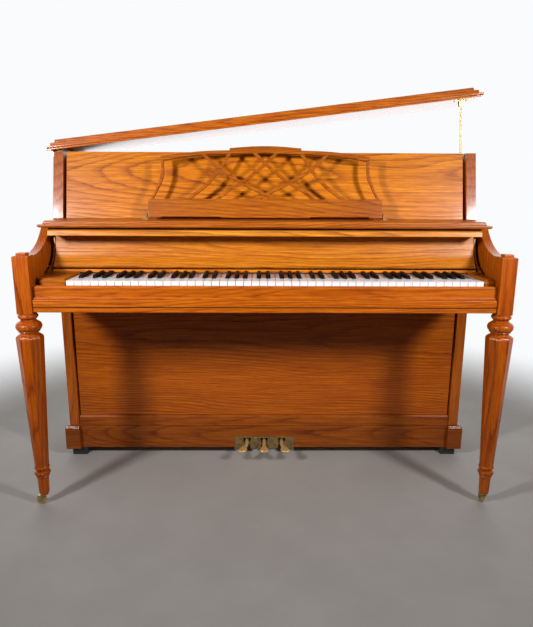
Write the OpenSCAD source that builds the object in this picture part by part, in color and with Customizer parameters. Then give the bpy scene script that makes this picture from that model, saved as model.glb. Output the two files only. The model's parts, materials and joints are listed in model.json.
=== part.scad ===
// Console upright piano, front legs on casters, lid propped open.
// X runs along the keyboard, Y from the player towards the back, Z up from the floor.
// Depths are counted from the front edge of the white keys, at y = key_y.

/* [Case] */
// Overall width across the sides
case_w = 1440; // [1430:1:1450]
// Thickness of each side board
side_t = 34; // [30:1:38]
// Height of the top of the sides
case_top = 1099; // [1090:1:1110]
// Depth of the lid and case behind the white key fronts
back_d = 600; // [590:1:620]
// Height of the base above the floor
base_z = 30; // [26:1:36]

/* [Keyboard] */
// Width of one white key and its gap
key_pitch = 23.56; // [23.4:0.02:23.6]
// Height of the white key tops
key_top = 714; // [712:1:717]
// Sideways offset of the keyboard's centre
key_off = 29.3; // [26:0.1:31]
// Length of a whole key stick
key_len = 385; // [375:1:388]
// Distance from the key front to the balance rail
balance_d = 215; // [205:1:225]

/* [Lid and fallboard] */
// Angle at which the lid stands open
lid_open = 7.06; // [0:0.01:7.06]
// Thickness of the lid
lid_t = 34; // [32:1:36]
// Overhang of the lid past each side
lid_over = 15; // [12:1:16]

/* [Music desk] */
// Half of the width of the desk's base
desk_hw = 388; // [380:1:388]
// Angle at which the desk and the upper panel lean back
lean = 13.3; // [10:0.1:14]

/* [Hidden] */
$fn = 48;
side_x = case_w / 2;
inner_x = side_x - side_t;
arm_t = 28;
arm_x = side_x - arm_t;
low_front = 314;
up_front = 309;
shelf_z = 857;
shelf_top = 878;
keybed_z = 625;
keybed_top = 653;
key_bottom = 697;
key_left = key_off - 26 * key_pitch;
black_w = 10.4;
black_top = key_top + 10;
balance_z = key_bottom;
leg_w = 45;
leg_x = side_x - leg_w / 2;
leg_y = -32 + leg_w / 2;
leg_bulge = 37.2;
leg_corner = 39;
// Puts y = 0 halfway between the front of the legs and the back of the case.
key_y = -(back_d + leg_y - leg_bulge) / 2;
block_z = 620;
block_top = 789;
leg_foot = 36;
wheel_r = 15;
wheel_w = 13;
wheel_back = 11;
panel_t = 16;
string_y = 456;
plate_y = 468;
board_y = 508;
post_y = 528;
fall_pin = [163, 733];
leaf_pin = [194, 834];
fall_w = 1344;
lid_pin_x = -side_x - 4.5;
lid_pin_z = case_top - 2;
lid_front = 342;
prop_y = 395;
prop_top = [676, 1089];
prop_tilt = 4.22;
prop_len = 200;
guide_z = 1068;
pedal_y = 370;
pedal_z = 60;
pedal_x = [-65, -1, 64];
rod_y = 425;
desk_y = 256;
desk_z = 884;
desk_t = 13;
hammer_y = 364;
hammer_z = 845;

oak = [0.72, 0.45, 0.20];
oak_dark = [0.62, 0.36, 0.16];
spruce = [0.86, 0.72, 0.48];
brass = [0.80, 0.65, 0.32];
steel = [0.75, 0.76, 0.78];
gold = [0.72, 0.58, 0.28];
felt = [0.80, 0.80, 0.76];
ivory = [0.95, 0.93, 0.86];
ebony = [0.05, 0.05, 0.05];

// Semitone classes of the white keys in one octave from C, and the sideways
// shift of each black key from the joint between its two white neighbours.
white_pc = [0, 2, 4, 5, 7, 9, 11];
black_shift = [0, -2.4, 0, 2.4, 0, 0, -3, 0, 0, 0, 3, 0];

// Box between two corners; the Y values are depths behind the white key fronts.
module slab(x0, x1, d0, d1, z0, z1) {
    translate([x0, key_y + d0, z0]) cube([x1 - x0, d1 - d0, z1 - z0]);
}

// The same box on both sides of the middle.
module slab_pair(x0, x1, d0, d1, z0, z1) {
    slab(x0, x1, d0, d1, z0, z1);
    slab(-x1, -x0, d0, d1, z0, z1);
}

// Extrudes a (depth, height) outline along X from x0 by w.
module yz(x0, w) {
    translate([x0, key_y, 0]) rotate([90, 0, 90]) linear_extrude(w) children();
}

// Rod along X through a (depth, height) point.
module x_pin(x0, x1, at, r) {
    translate([x0, key_y + at[0], at[1]]) rotate([0, 90, 0]) cylinder(h = x1 - x0, r = r);
}

// Rod along Y from depth d0 to d1.
module y_pin(x, d0, d1, z, r) {
    translate([x, key_y + d0, z]) rotate([-90, 0, 0]) cylinder(h = d1 - d0, r = r);
}

// ---- case ----
module side_board() {
    yz(inner_x, side_t) polygon([[low_front, base_z], [low_front, block_z], [up_front, block_z],
        [up_front, shelf_top], [up_front + (case_top - shelf_top) * tan(lean), case_top],
        [back_d, case_top], [back_d, base_z]]);
}

module left_side() { color(oak) mirror([1, 0, 0]) side_board(); }

module right_side() { color(oak) side_board(); }

module back_frame() {
    posts = 6;
    post_w = 62;
    step = (2 * inner_x - 2 - post_w) / (posts - 1);
    color(spruce) {
        for (i = [0 : posts - 1])
            slab(1 - inner_x + i * step, 1 - inner_x + i * step + post_w,
                post_y, back_d - 2, base_z + 120, case_top - 110);
        slab(1 - inner_x, inner_x - 1, post_y, back_d - 2, base_z, base_z + 120);
        slab(1 - inner_x, inner_x - 1, post_y, back_d - 2, case_top - 110, case_top - 4);
        slab(-640, 640, plate_y + 12, post_y, 962, case_top - 14);
    }
}

module soundboard() {
    ribs = 9;
    color(spruce) {
        slab(-672, 672, board_y, board_y + 8, 110, 958);
        for (i = [0 : ribs - 1])
            slab(-640 + i * 155, -616 + i * 155, board_y + 8, post_y - 1, 160, 930);
    }
}

module bridges() {
    color(oak_dark) {
        translate([0, key_y + board_y - 22, 0]) rotate([90, 0, 0]) mirror([0, 0, 1])
            linear_extrude(22) polygon([[-560, 300], [-300, 330], [60, 460], [330, 640], [600, 840],
                [600, 868], [320, 668], [50, 488], [-306, 358], [-560, 328]]);
        translate([0, key_y + board_y - 28, 0]) rotate([90, 0, 0]) mirror([0, 0, 1])
            linear_extrude(28) polygon([[-600, 190], [-250, 200], [-250, 230], [-600, 220]]);
    }
}

module iron_plate() {
    bars = [-420, -150, 130, 400];
    color(gold) difference() {
        slab(-660, 660, plate_y, plate_y + 11, 112, case_top - 16);
        slab(-620, bars[0] - 14, plate_y - 1, plate_y + 12, 176, 930);
        for (i = [0 : 2])
            slab(bars[i] + 14, bars[i + 1] - 14, plate_y - 1, plate_y + 12, 176, 930);
        slab(bars[3] + 14, 620, plate_y - 1, plate_y + 12, 176, 930);
    }
}

module strings_and_pins() {
    count = 88;
    color(steel) for (i = [0 : count - 1]) {
        x = key_left + 8 + i * (52 * key_pitch - 16) / (count - 1);
        z = 980 + 22 * (i % 4);
        low = 150 + (i > 40 ? 7.5 * (i - 40) : 0);
        translate([x, key_y + string_y, low]) cylinder(h = z - low, r = 0.8, $fn = 6);
        y_pin(x, string_y - 12, plate_y + 10, z, 3);
    }
}

module bottom_board() { color(oak_dark) slab(-inner_x + 1, inner_x - 1, 340, 520, base_z, base_z + 16); }

module lower_panel() { color(oak) slab(-682, 682, 326, 326 + panel_t, 158, 618); }

module lower_rail() {
    color(oak) yz(-inner_x + 1, 2 * inner_x - 2) polygon([[318, 118], [322, 116], [342, 116],
        [342, 157], [325, 157], [320, 151]]);
}

module kick_rail() {
    color(oak) difference() {
        slab(-inner_x + 1, inner_x - 1, 318, 338, base_z, 116);
        for (x = pedal_x) slab(x - 14, x + 14, 317, 339, base_z - 1, 70);
    }
}

module plinth_blocks() {
    color(oak) for (s = [0, 1]) mirror([s, 0, 0]) {
        slab(side_x, side_x + 15, 302, back_d, base_z, 122);
        slab(inner_x - 3, side_x, 302, low_front, base_z, 122);
    }
}

module base_feet() {
    color(ebony) slab_pair(666, 719, 320, back_d, 0, base_z);
}

module upper_panel() {
    rise = case_top - 1 - shelf_top;
    color(oak) yz(-675, 1350) polygon([[up_front, shelf_top], [up_front + rise * tan(lean), case_top - 1],
        [up_front + rise * tan(lean) + panel_t, case_top - 1], [up_front + panel_t, shelf_top]]);
}

module shelf() {
    color(oak) {
        yz(-710, 1420) polygon([[146, shelf_z], [up_front - 1, shelf_z], [up_front - 1, 867],
            [141, 867], [141, 861]]);
        yz(-696, 1392) polygon([[156, 867], [up_front - 1, 867], [up_front - 1, shelf_top],
            [155, shelf_top], [152, 875], [152, 870]]);
    }
}

module keybed() {
    color(oak_dark) {
        slab(-674, 674, -4, 15, keybed_z, keybed_top);
        slab(-arm_x + 0.5, arm_x - 0.5, 15, up_front, keybed_z, keybed_top);
        slab(-inner_x + 0.5, inner_x - 0.5, up_front, 405, keybed_z, keybed_top);
    }
    color(oak) difference() {
        yz(-674, 1348) polygon([[-26, keybed_z], [-4, keybed_z], [-4, 663], [-26, 663],
            [-28, 661], [-28, 627]]);
        slab(-680, 680, -29, -26, 639.5, 642);
    }
}

module key_slip() {
    color(oak) yz(-674, 1348) polygon([[-24, 663], [-3, 663], [-3, 698], [-6, 702], [-16, 702],
        [-20, 698], [-20, 669.5], [-24, 667.5]]);
}

module key_blocks() {
    left_end = key_left - 1.5;
    right_start = key_left + 52 * key_pitch + 1.5;
    color(oak) {
        yz(-672, left_end + 672) polygon([[0, keybed_top], [147, keybed_top], [147, 720],
            [3, 720], [0, 717]]);
        yz(right_start, 672 - right_start) polygon([[0, keybed_top], [147, keybed_top],
            [147, 720], [3, 720], [0, 717]]);
    }
}

module cheek_arms() {
    bend = 189;
    start = [50, 782];
    color(oak) for (s = [0, 1]) mirror([s, 0, 0]) yz(arm_x, arm_t) polygon(concat(
        [[13.5, start[1]], [13.5, keybed_z], [up_front - 0.5, keybed_z], [up_front - 0.5, 856]],
        [for (a = [52 : -4 : 0]) start + bend * [sin(a), 1 - cos(a)]]));
}

// ---- front legs and casters ----
module leg(s) {
    color(oak) translate([s * leg_x, key_y + leg_y, 0]) {
        difference() {
            union() {
                translate([-leg_w / 2, -leg_w / 2, block_z]) cube([leg_w, leg_w, block_top - block_z]);
                translate([-13.5, -13.5, block_top]) cube([27, 27, 8]);
                rotate([0, 0, 22.5]) {
                    translate([0, 0, 132]) cylinder(h = 412, r1 = 20.5, r2 = leg_corner, $fn = 8);
                    translate([0, 0, 544]) cylinder(h = 7, r1 = leg_corner, r2 = 37, $fn = 8);
                    translate([0, 0, 551]) cylinder(h = 7, r1 = 36, r2 = 29, $fn = 8);
                }
                rotate_extrude() polygon(concat([[0, 550], [26, 556], [26, 563], [31, 566]],
                    [for (a = [-40 : 10 : 50]) [leg_bulge - 14.2 + 14.2 * cos(a), 581 + 17 * sin(a)]],
                    [[22, 599], [22, 603], [28.7, 605], [28.7, 618], [27, 620.5], [0, 620.5]]));
                rotate_extrude() polygon([[0, leg_foot], [14.5, leg_foot], [15.5, 44], [17.2, 93],
                    [20, 96], [20, 100], [17.5, 103], [24, 105], [24, 114], [18.2, 116],
                    [18.2, 119], [22.7, 124], [22.7, 130], [20.5, 134], [0, 134]]);
            }
            translate([0, 0, leg_foot - 1]) cylinder(h = 30, r = 4.05);
        }
    }
}

module left_leg() { leg(-1); }

module right_leg() { leg(1); }

// Caster fork in its own frame: swivel axis at the origin, wheel trailing along -X.
module caster_fork() {
    color(brass) {
        difference() {
            union() {
                translate([0, 0, 32]) cylinder(h = leg_foot - 32.2, r = 12);
                cylinder_pin(30, leg_foot + 27, 4);
                for (s = [-1, 1]) translate([0, s * (wheel_w / 2 + 1.9), 0]) rotate([90, 0, 0])
                    linear_extrude(2.4, center = true) {
                        polygon([[-11, 34], [9, 34], [5, 29], [-6, 12], [-16.5, 18], [-16, 28]]);
                        translate([-wheel_back, wheel_r]) circle(r = 5.5);
                    }
            }
            translate([-wheel_back, 30, wheel_r]) rotate([90, 0, 0]) cylinder(h = 60, r = 1.9);
        }
        translate([-wheel_back, wheel_w / 2 + 3.5, wheel_r]) rotate([90, 0, 0])
            cylinder(h = wheel_w + 7, r = 2);
    }
}

module cylinder_pin(z0, z1, r) { translate([0, 0, z0]) cylinder(h = z1 - z0, r = r); }

module caster_wheel() {
    color(brass) translate([-wheel_back, wheel_w / 2, wheel_r]) rotate([90, 0, 0]) difference() {
        rotate_extrude($fn = 64) polygon([[2.06, 0], [wheel_r - 3, 0], [wheel_r, 2.5],
            [wheel_r, wheel_w - 2.5], [wheel_r - 3, wheel_w], [2.06, wheel_w]]);
    }
}

module at_left_leg() { translate([-leg_x, key_y + leg_y, 0]) children(); }

module at_right_leg() { translate([leg_x, key_y + leg_y, 0]) rotate([0, 0, -90]) children(); }

module left_caster_fork() { at_left_leg() caster_fork(); }

module right_caster_fork() { at_right_leg() caster_fork(); }

module left_caster_wheel() { at_left_leg() caster_wheel(); }

module right_caster_wheel() { at_right_leg() caster_wheel(); }

// ---- keyboard ----
module nameboard_strip() {
    color(oak) slab(-672, 672, 148, 155, 718, 726.3);
    color("firebrick") slab(-583, 642, 149, 154, 716, 718);
}

module key_frame() {
    color(spruce) {
        slab(-584, 642, 5, 60, keybed_top, 674);
        slab(-584, 642, balance_d - 26, balance_d + 26, keybed_top, 680);
        slab(-584, 642, balance_d - 5, balance_d + 5, 680, balance_z - 0.6);
        slab(-584, 642, 345, 388, keybed_top, key_bottom - 0.5);
        for (x = [-560, -150, 260, 620]) slab(x - 14, x + 14, 60, 345, keybed_top, 668);
    }
}

// Half of the slot that a black key takes out of the white key beside it.
function notch(pc, side) =
    let (b = (pc + side + 12) % 12)
    black_shift[b] == 0 && b != 8 ? 0.5 : black_w / 2 + 1.6 + side * -black_shift[b];

module white_key(i) {
    pc = white_pc[(i + 5) % 7];
    x0 = key_left + i * key_pitch;
    x1 = x0 + key_pitch;
    left_cut = i == 0 ? 0.5 : notch(pc, -1);
    right_cut = i == 51 ? 0.5 : notch(pc, 1);
    middle = (x0 + left_cut + x1 - right_cut) / 2;
    translate([0, key_y, key_bottom]) {
        linear_extrude(key_top - key_bottom) polygon([[x0 + 0.5, 0], [x1 - 0.5, 0],
            [x1 - 0.5, 50], [x1 - right_cut, 50], [x1 - right_cut, 150], [x0 + left_cut, 150],
            [x0 + left_cut, 50], [x0 + 0.5, 50]]);
        translate([middle - 5.2, 150, 0]) cube([10.4, key_len - 150, 16]);
    }
}

module black_key(i) {
    pc = (white_pc[(i + 5) % 7] + 1) % 12;
    x = key_left + (i + 1) * key_pitch + black_shift[pc];
    yz(x - black_w / 2, black_w) polygon([[52, key_bottom], [147, key_bottom],
        [147, black_top], [57, black_top], [52, 716]]);
    slab(x - 4.4, x + 4.4, 147, key_len, key_bottom, key_bottom + 16);
}

// All the keys of one semitone class, from the lowest A to the highest C.
module keys_of(pc) {
    if (len(search(pc, white_pc)) > 0) {
        color(ivory) for (i = [0 : 51]) if (white_pc[(i + 5) % 7] == pc) white_key(i);
    } else {
        color(ebony) for (i = [0 : 50]) if (white_pc[(i + 5) % 7] + 1 == pc) black_key(i);
    }
}

module keys_c() { keys_of(0); }
module keys_c_sharp() { keys_of(1); }
module keys_d() { keys_of(2); }
module keys_d_sharp() { keys_of(3); }
module keys_e() { keys_of(4); }
module keys_f() { keys_of(5); }
module keys_f_sharp() { keys_of(6); }
module keys_g() { keys_of(7); }
module keys_g_sharp() { keys_of(8); }
module keys_a() { keys_of(9); }
module keys_a_sharp() { keys_of(10); }
module keys_b() { keys_of(11); }

// ---- action ----
module action_frame() {
    color(steel) for (x = [-600, -190, 225, 652]) slab(x - 4, x + 4, 392, 440, keybed_top, 700);
    color(steel) for (x = [-600, -190, 225, 652]) slab(x - 4, x + 4, 412, 419, 700, 1000);
    color(oak_dark) slab(-604, 656, hammer_y + 10, hammer_y + 34, 800, 836);
    color(oak_dark) for (x = [-600, -190, 225, 652]) slab(x - 4, x + 4, hammer_y + 34, 418, 800, 830);
    color(oak_dark) slab(-604, 656, 345, 355, 905, 935);
    color(steel) for (x = [-600, 652]) slab(x - 4, x + 4, 355, 412, 914, 922);
}

module hammers() {
    color(felt) for (i = [0 : 87]) {
        x = key_left + 8 + i * (52 * key_pitch - 16) / 87;
        translate([x, key_y, 0]) {
            translate([-2.5, hammer_y, hammer_z]) cube([5, 6, 118]);
            translate([-5, hammer_y - 6, hammer_z - 6]) cube([10, 20, 14]);
            translate([-4.5, 0, 0]) rotate([90, 0, 90]) linear_extrude(9)
                polygon([[hammer_y - 12, 952], [hammer_y + 14, 948], [hammer_y + 34, 958],
                    [hammer_y + 34, 966], [hammer_y + 14, 976], [hammer_y - 12, 972]]);
        }
    }
}

module dampers() {
    color(felt) for (i = [0 : 65]) {
        x = key_left + 8 + i * (52 * key_pitch - 16) / 87;
        translate([x - 4, key_y + string_y - 18, 855]) cube([8, 16, 34]);
    }
    color(steel) slab(key_left, key_left + 940, string_y - 24, string_y - 18, 850, 858);
}

module muffler_rail() {
    color(oak_dark) slab(-596, 648, 424, 430, 1020, 1040);
    color(felt) slab(-590, 642, 430, 432, 1004, 1034);
}

// ---- pedals ----
module pedal_plate() {
    color(brass) difference() {
        slab(-111, 111, 315.5, 318, base_z - 2, 74);
        for (x = pedal_x) slab(x - 13, x + 13, 315, 319, base_z - 3, 69);
        for (x = [-98, -33, 32, 98]) y_pin(x, 315, 319, 68, 2);
    }
    color(brass) for (x = [-98, -33, 32, 98]) y_pin(x, 314, 326, 68, 1.95);
    color(steel) difference() {
        for (x = pedal_x, s = [-1, 1]) slab(x + s * 10 - 1.5, x + s * 10 + 1.5, pedal_y - 9,
            pedal_y + 9, base_z + 16, pedal_z + 8);
        for (x = pedal_x) x_pin(x - 13, x + 13, [pedal_y, pedal_z], 2.46);
    }
}

// Pedal lever with a turned toe; turn swings the toe sideways.
module pedal(x, turn) {
    toe = 220;
    color(brass) translate([x, key_y, 0]) {
        difference() {
            union() {
                translate([-6, 305, pedal_z - 5]) cube([12, 137, 8]);
                translate([0, 308, pedal_z - 5]) linear_extrude(8) polygon([[-6, 2],
                    [-6.5 + turn * 0.1, -28], [-10 + turn * 0.6, -54], [-17 + turn * 0.95, toe - 292],
                    [-14 + turn, toe - 303], [-5 + turn, toe - 308], [5 + turn, toe - 308],
                    [14 + turn, toe - 303], [17 + turn * 0.95, toe - 292], [10 + turn * 0.6, -54],
                    [6.5 + turn * 0.1, -28], [6, 2]]);
            }
            translate([-20, pedal_y, pedal_z]) rotate([0, 90, 0]) cylinder(h = 40, r = 2.4);
        }
        translate([-11.5, pedal_y, pedal_z]) rotate([0, 90, 0]) cylinder(h = 23, r = 2.4);
    }
}

module left_pedal() { pedal(pedal_x[0], -16); }

module middle_pedal() { pedal(pedal_x[1], 0); }

module right_pedal() { pedal(pedal_x[2], 12); }

module pedal_rod(x, top) {
    color(oak_dark) translate([x, key_y + rod_y, pedal_z + 3.6]) cylinder(h = top - pedal_z - 3.6, r = 5);
}

module left_pedal_rod() { pedal_rod(pedal_x[0], 780); }

module middle_pedal_rod() { pedal_rod(pedal_x[1], 780); }

module right_pedal_rod() { pedal_rod(pedal_x[2], 780); }

// ---- music desk ----
module desk_frame_2d() {
    polygon(concat([[-desk_hw, 0], [desk_hw, 0], [desk_hw, 60], [379, 62]],
        [[362, 96], [346, 146], [347, 203], [204, 221], [119, 224], [119, 231]],
        [for (a = [1 : 1 : 9]) [119 - a * 11.9, 231 + 7 * sin(a * 9)]],
        [for (a = [9 : -1 : 1]) [-119 + a * 11.9, 231 + 7 * sin(a * 9)]],
        [[-119, 231], [-119, 224], [-204, 221], [-347, 203], [-346, 146], [-362, 96],
        [-379, 62], [-desk_hw, 60]]));
}

module desk_hole_2d() {
    polygon(concat([[0, 62], [371, 62], [352, 100], [337, 140], [337, 190], [204, 209]],
        [[108, 212], [0, 216], [-108, 212], [-204, 209], [-337, 190], [-337, 140],
        [-352, 100], [-371, 62]]));
}

// Point at t along the smooth curve from q to r, with p and s as its neighbours.
function curve_point(p, q, r, s, t) =
    (2 * q + (r - p) * t + (2 * p - 5 * q + 4 * r - s) * t * t + (3 * q - p - 3 * r + s) * t * t * t) / 2;

// Smooth curve through pts, with n steps between each two.
function smooth(pts, n) = concat(
    [for (i = [0 : len(pts) - 2]) for (k = [0 : n - 1])
        curve_point(pts[max(i - 1, 0)], pts[i], pts[i + 1], pts[min(i + 2, len(pts) - 1)], k / n)],
    [pts[len(pts) - 1]]);

// The points of pts moved sideways by w.
function beside(pts, w) = [for (i = [0 : len(pts) - 1])
    let (t = pts[min(i + 1, len(pts) - 1)] - pts[max(i - 1, 0)])
    pts[i] + [-t[1], t[0]] * (w / norm(t))];

// One lattice bar of width w along hand-placed points.
module bar_2d(pts, w) {
    line = smooth(pts, 3);
    right = beside(line, -w / 2);
    polygon(concat(beside(line, w / 2), [for (i = [len(right) - 1 : -1 : 0]) right[i]]));
}

module music_desk() {
    sweep_a = [[-209, 216], [-155, 163], [-86, 121], [0, 77], [36, 50]];
    sweep_b = [[-116, 220], [-132, 193], [-155, 157], [-202, 104], [-268, 50]];
    sweep_c = [[-44, 225], [-6, 186], [63, 128], [121, 92], [168, 50]];
    color(oak) translate([0, key_y + desk_y, desk_z]) rotate([90 - lean, 0, 0]) mirror([0, 0, 1])
        difference() {
            union() {
                linear_extrude(desk_t) difference() {
                    desk_frame_2d();
                    desk_hole_2d();
                }
                for (s = [0, 1]) mirror([s, 0, 0]) translate([0, 0, 1]) {
                    linear_extrude(desk_t - 2) bar_2d(sweep_a, 10.5);
                    linear_extrude(desk_t - 3) bar_2d(sweep_b, 10.5);
                    linear_extrude(desk_t - 4) bar_2d(sweep_c, 10.5);
                }
            }
            for (s = [0, 1]) mirror([s, 0, 0]) {
                translate([148, -1, -1]) cube([196, 4, desk_t + 2]);
                translate([desk_hw - 16, 9, desk_t / 2]) rotate([0, 90, 0]) cylinder(h = 20, r = 2.56);
            }
        }
}

// Hinge pin line of the desk in the piano's frame.
function desk_pin() =
    [desk_y + 9 * sin(lean) + desk_t / 2 * cos(lean), desk_z + 9 * cos(lean) - desk_t / 2 * sin(lean)];

module desk_brackets() {
    p = desk_pin();
    color(brass) for (s = [0, 1]) mirror([s, 0, 0]) {
        slab(desk_hw + 2, desk_hw + 6, p[0] - 9, p[0] + 9, shelf_top, p[1] + 7);
        slab(desk_hw + 6, desk_hw + 18, p[0] - 9, p[0] + 9, shelf_top, shelf_top + 2.5);
        x_pin(desk_hw - 15, desk_hw + 2, p, 2.5);
    }
}

// ---- fallboard ----
module fallboard() {
    color(oak) yz(-fall_w / 2, fall_w) polygon([[155, 735], [160, 744], [167, 753], [177, 769],
        [184, 793], [190, 818], [192, 831], [208, 828], [203, 795], [196, 768], [184, 746],
        [171, 731], [160, 729]]);
}

module fallboard_arms() {
    ring = [98, 818];
    mid_r = 99;
    color(brass) for (s = [0, 1]) mirror([s, 0, 0]) {
        yz(fall_w / 2 + 4, 4) intersection() {
            difference() {
                translate(ring) circle(r = mid_r + 4, $fn = 96);
                translate(ring) circle(r = mid_r - 3, $fn = 96);
            }
            polygon([ring, [122, 700], [300, 700], [300, 826]]);
        }
        x_pin(fall_w / 2, fall_w / 2 + 4, [197, 806], 3);
        x_pin(fall_w / 2, arm_x - 0.3, fall_pin, 4);
        yz(fall_w / 2 + 4, 4) difference() {
            translate(fall_pin) circle(r = 9);
            translate(fall_pin) circle(r = 3.9);
        }
    }
}

module fallboard_leaf() {
    color(oak) yz(-fall_w / 2, fall_w) polygon([[124, 833.5], [193.7, 833.5], [193.7, 851],
        [127, 851], [123, 848], [122, 842], [122.5, 836]]);
}

// ---- lid ----
// Places children, drawn for the closed lid, at the open angle about the hinge pins.
module on_lid() {
    translate([lid_pin_x, 0, lid_pin_z]) rotate([0, -lid_open, 0])
        translate([-lid_pin_x, 0, -lid_pin_z]) children();
}

module lid() {
    end_x = side_x + lid_over;
    under = case_top + 2;
    color(oak) on_lid() {
        slab(-end_x, end_x, lid_front, back_d, under, under + 5);
        slab(-end_x + 2.5, end_x - 2.5, lid_front + 2, back_d, under + 5, under + 7);
        slab(-end_x, end_x, lid_front, back_d, under + 7, under + 13);
        slab(-end_x + 11, end_x - 11, lid_front + 9, back_d, under + 13, under + 24);
        slab(-end_x + 28, end_x - 28, lid_front + 22, back_d, under + 24, under + lid_t);
    }
}

hinge_d = [380, 560];

module side_hinges() {
    color(brass) for (d = hinge_d) {
        slab(-side_x - 1.5, -side_x, d - 18, d + 18, lid_pin_z - 26, lid_pin_z - 4.5);
        for (s = [-1, 1]) slab(-side_x - 4.5, -side_x, d + 12.5 * s - 5.5, d + 12.5 * s + 5.5,
            lid_pin_z - 5, lid_pin_z);
        difference() {
            union() {
                y_pin(lid_pin_x, d - 18, d - 6.5, lid_pin_z, 3.6);
                y_pin(lid_pin_x, d + 6.5, d + 18, lid_pin_z, 3.6);
            }
            y_pin(lid_pin_x, d - 19, d + 19, lid_pin_z, 1.5);
        }
        y_pin(lid_pin_x, d - 18, d + 18, lid_pin_z, 1.5);
    }
}

module lid_hardware() {
    color(brass) on_lid() {
        for (d = hinge_d) difference() {
            union() {
                y_pin(lid_pin_x, d - 6, d + 6, lid_pin_z, 3.6);
                slab(lid_pin_x, -side_x + 26, d - 6, d + 6, lid_pin_z + 2.6, case_top + 2);
            }
            y_pin(lid_pin_x, d - 19, d + 19, lid_pin_z, 1.56);
        }
        slab(prop_top[0] - 22, prop_top[0] + 26, prop_y - 10, prop_y + 10, case_top, case_top + 2);
        for (s = [-1, 1]) difference() {
            slab(prop_top[0] - 7, prop_top[0] + 7, prop_y + s * 6 - 1.2, prop_y + s * 6 + 1.2,
                prop_top[1] - 6, case_top);
            y_pin(prop_top[0], prop_y - 9, prop_y + 9, prop_top[1], 1.9);
        }
        y_pin(prop_top[0], prop_y - 8.5, prop_y + 8.5, prop_top[1], 1.9);
    }
}

// Where the prop's upper pin lies with the lid open.
function prop_pin() =
    let (x = prop_top[0] - lid_pin_x, z = prop_top[1] - lid_pin_z)
    [lid_pin_x + x * cos(lid_open) - z * sin(lid_open), lid_pin_z + x * sin(lid_open) + z * cos(lid_open)];

module lid_prop() {
    p = prop_pin();
    color(brass) translate([p[0], key_y + prop_y, p[1]]) rotate([0, -prop_tilt, 0]) difference() {
        union() {
            rotate([90, 0, 0]) cylinder(h = 8, r = 5, center = true);
            translate([0, 0, -prop_len]) cylinder(h = prop_len - 3, r = 2.6);
        }
        rotate([90, 0, 0]) cylinder(h = 10, r = 1.95, center = true);
    }
}

module prop_guide() {
    color(brass) difference() {
        union() {
            slab(667, inner_x, prop_y - 11, prop_y + 11, guide_z, guide_z + 3);
            slab(inner_x - 1.2, inner_x, prop_y - 11, prop_y + 11, guide_z - 22, guide_z + 3);
        }
        slab(671.5, 683.9, prop_y - 3.6, prop_y + 3.6, guide_z - 1, guide_z + 4);
    }
}

left_side();
right_side();
back_frame();
soundboard();
bridges();
iron_plate();
strings_and_pins();
bottom_board();
lower_panel();
lower_rail();
kick_rail();
plinth_blocks();
base_feet();
upper_panel();
shelf();
keybed();
key_slip();
key_blocks();
cheek_arms();
left_leg();
right_leg();
nameboard_strip();
key_frame();
action_frame();
pedal_plate();
desk_brackets();
music_desk();
fallboard();
fallboard_arms();
fallboard_leaf();
lid();
lid_hardware();
side_hinges();
lid_prop();
prop_guide();
left_pedal();
middle_pedal();
right_pedal();
left_pedal_rod();
middle_pedal_rod();
right_pedal_rod();
hammers();
dampers();
muffler_rail();
left_caster_fork();
right_caster_fork();
left_caster_wheel();
right_caster_wheel();
keys_c();
keys_c_sharp();
keys_d();
keys_d_sharp();
keys_e();
keys_f();
keys_f_sharp();
keys_g();
keys_g_sharp();
keys_a();
keys_a_sharp();
keys_b();
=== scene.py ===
"""Looks of a console upright piano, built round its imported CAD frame.

Helpers take millimetres. d is the depth behind the front edge of the white keys, as in the
CAD source, so at(x, d, z) turns a place there into metres in the shared frame.
"""

import json
import math
import random

import bmesh
import bpy
from mathutils import Matrix, Vector


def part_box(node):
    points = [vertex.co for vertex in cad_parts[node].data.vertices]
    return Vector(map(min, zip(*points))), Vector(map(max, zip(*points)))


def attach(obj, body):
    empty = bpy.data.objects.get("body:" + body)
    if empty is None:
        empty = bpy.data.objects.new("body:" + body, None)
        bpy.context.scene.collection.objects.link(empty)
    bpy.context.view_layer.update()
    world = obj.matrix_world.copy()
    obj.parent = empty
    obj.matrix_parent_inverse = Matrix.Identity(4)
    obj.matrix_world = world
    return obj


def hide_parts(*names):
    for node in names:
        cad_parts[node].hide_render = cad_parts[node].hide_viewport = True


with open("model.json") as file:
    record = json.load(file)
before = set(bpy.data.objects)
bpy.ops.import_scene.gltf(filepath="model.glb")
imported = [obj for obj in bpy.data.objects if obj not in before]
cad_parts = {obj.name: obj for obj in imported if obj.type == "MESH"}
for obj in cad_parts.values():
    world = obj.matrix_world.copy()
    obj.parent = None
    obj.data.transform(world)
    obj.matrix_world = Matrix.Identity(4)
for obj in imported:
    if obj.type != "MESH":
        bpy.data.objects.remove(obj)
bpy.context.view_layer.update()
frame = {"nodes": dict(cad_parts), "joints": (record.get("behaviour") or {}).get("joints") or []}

MM = 0.001
KEY_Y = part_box("keys_c")[0].y
JOINTS = {joint["name"]: joint for joint in frame["joints"]}
random.seed(11)


def at(x, d, z):
    """The place x, d, z in millimetres as a point in the shared frame."""
    return Vector((x * MM, KEY_Y + d * MM, z * MM))


def span(node):
    """A CAD node's box in millimetres: (x0, x1), (d0, d1), (z0, z1)."""
    low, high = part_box(node)
    return (
        (low.x / MM, high.x / MM),
        ((low.y - KEY_Y) / MM, (high.y - KEY_Y) / MM),
        (low.z / MM, high.z / MM),
    )


# ---------------------------------------------------------------- materials


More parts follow.
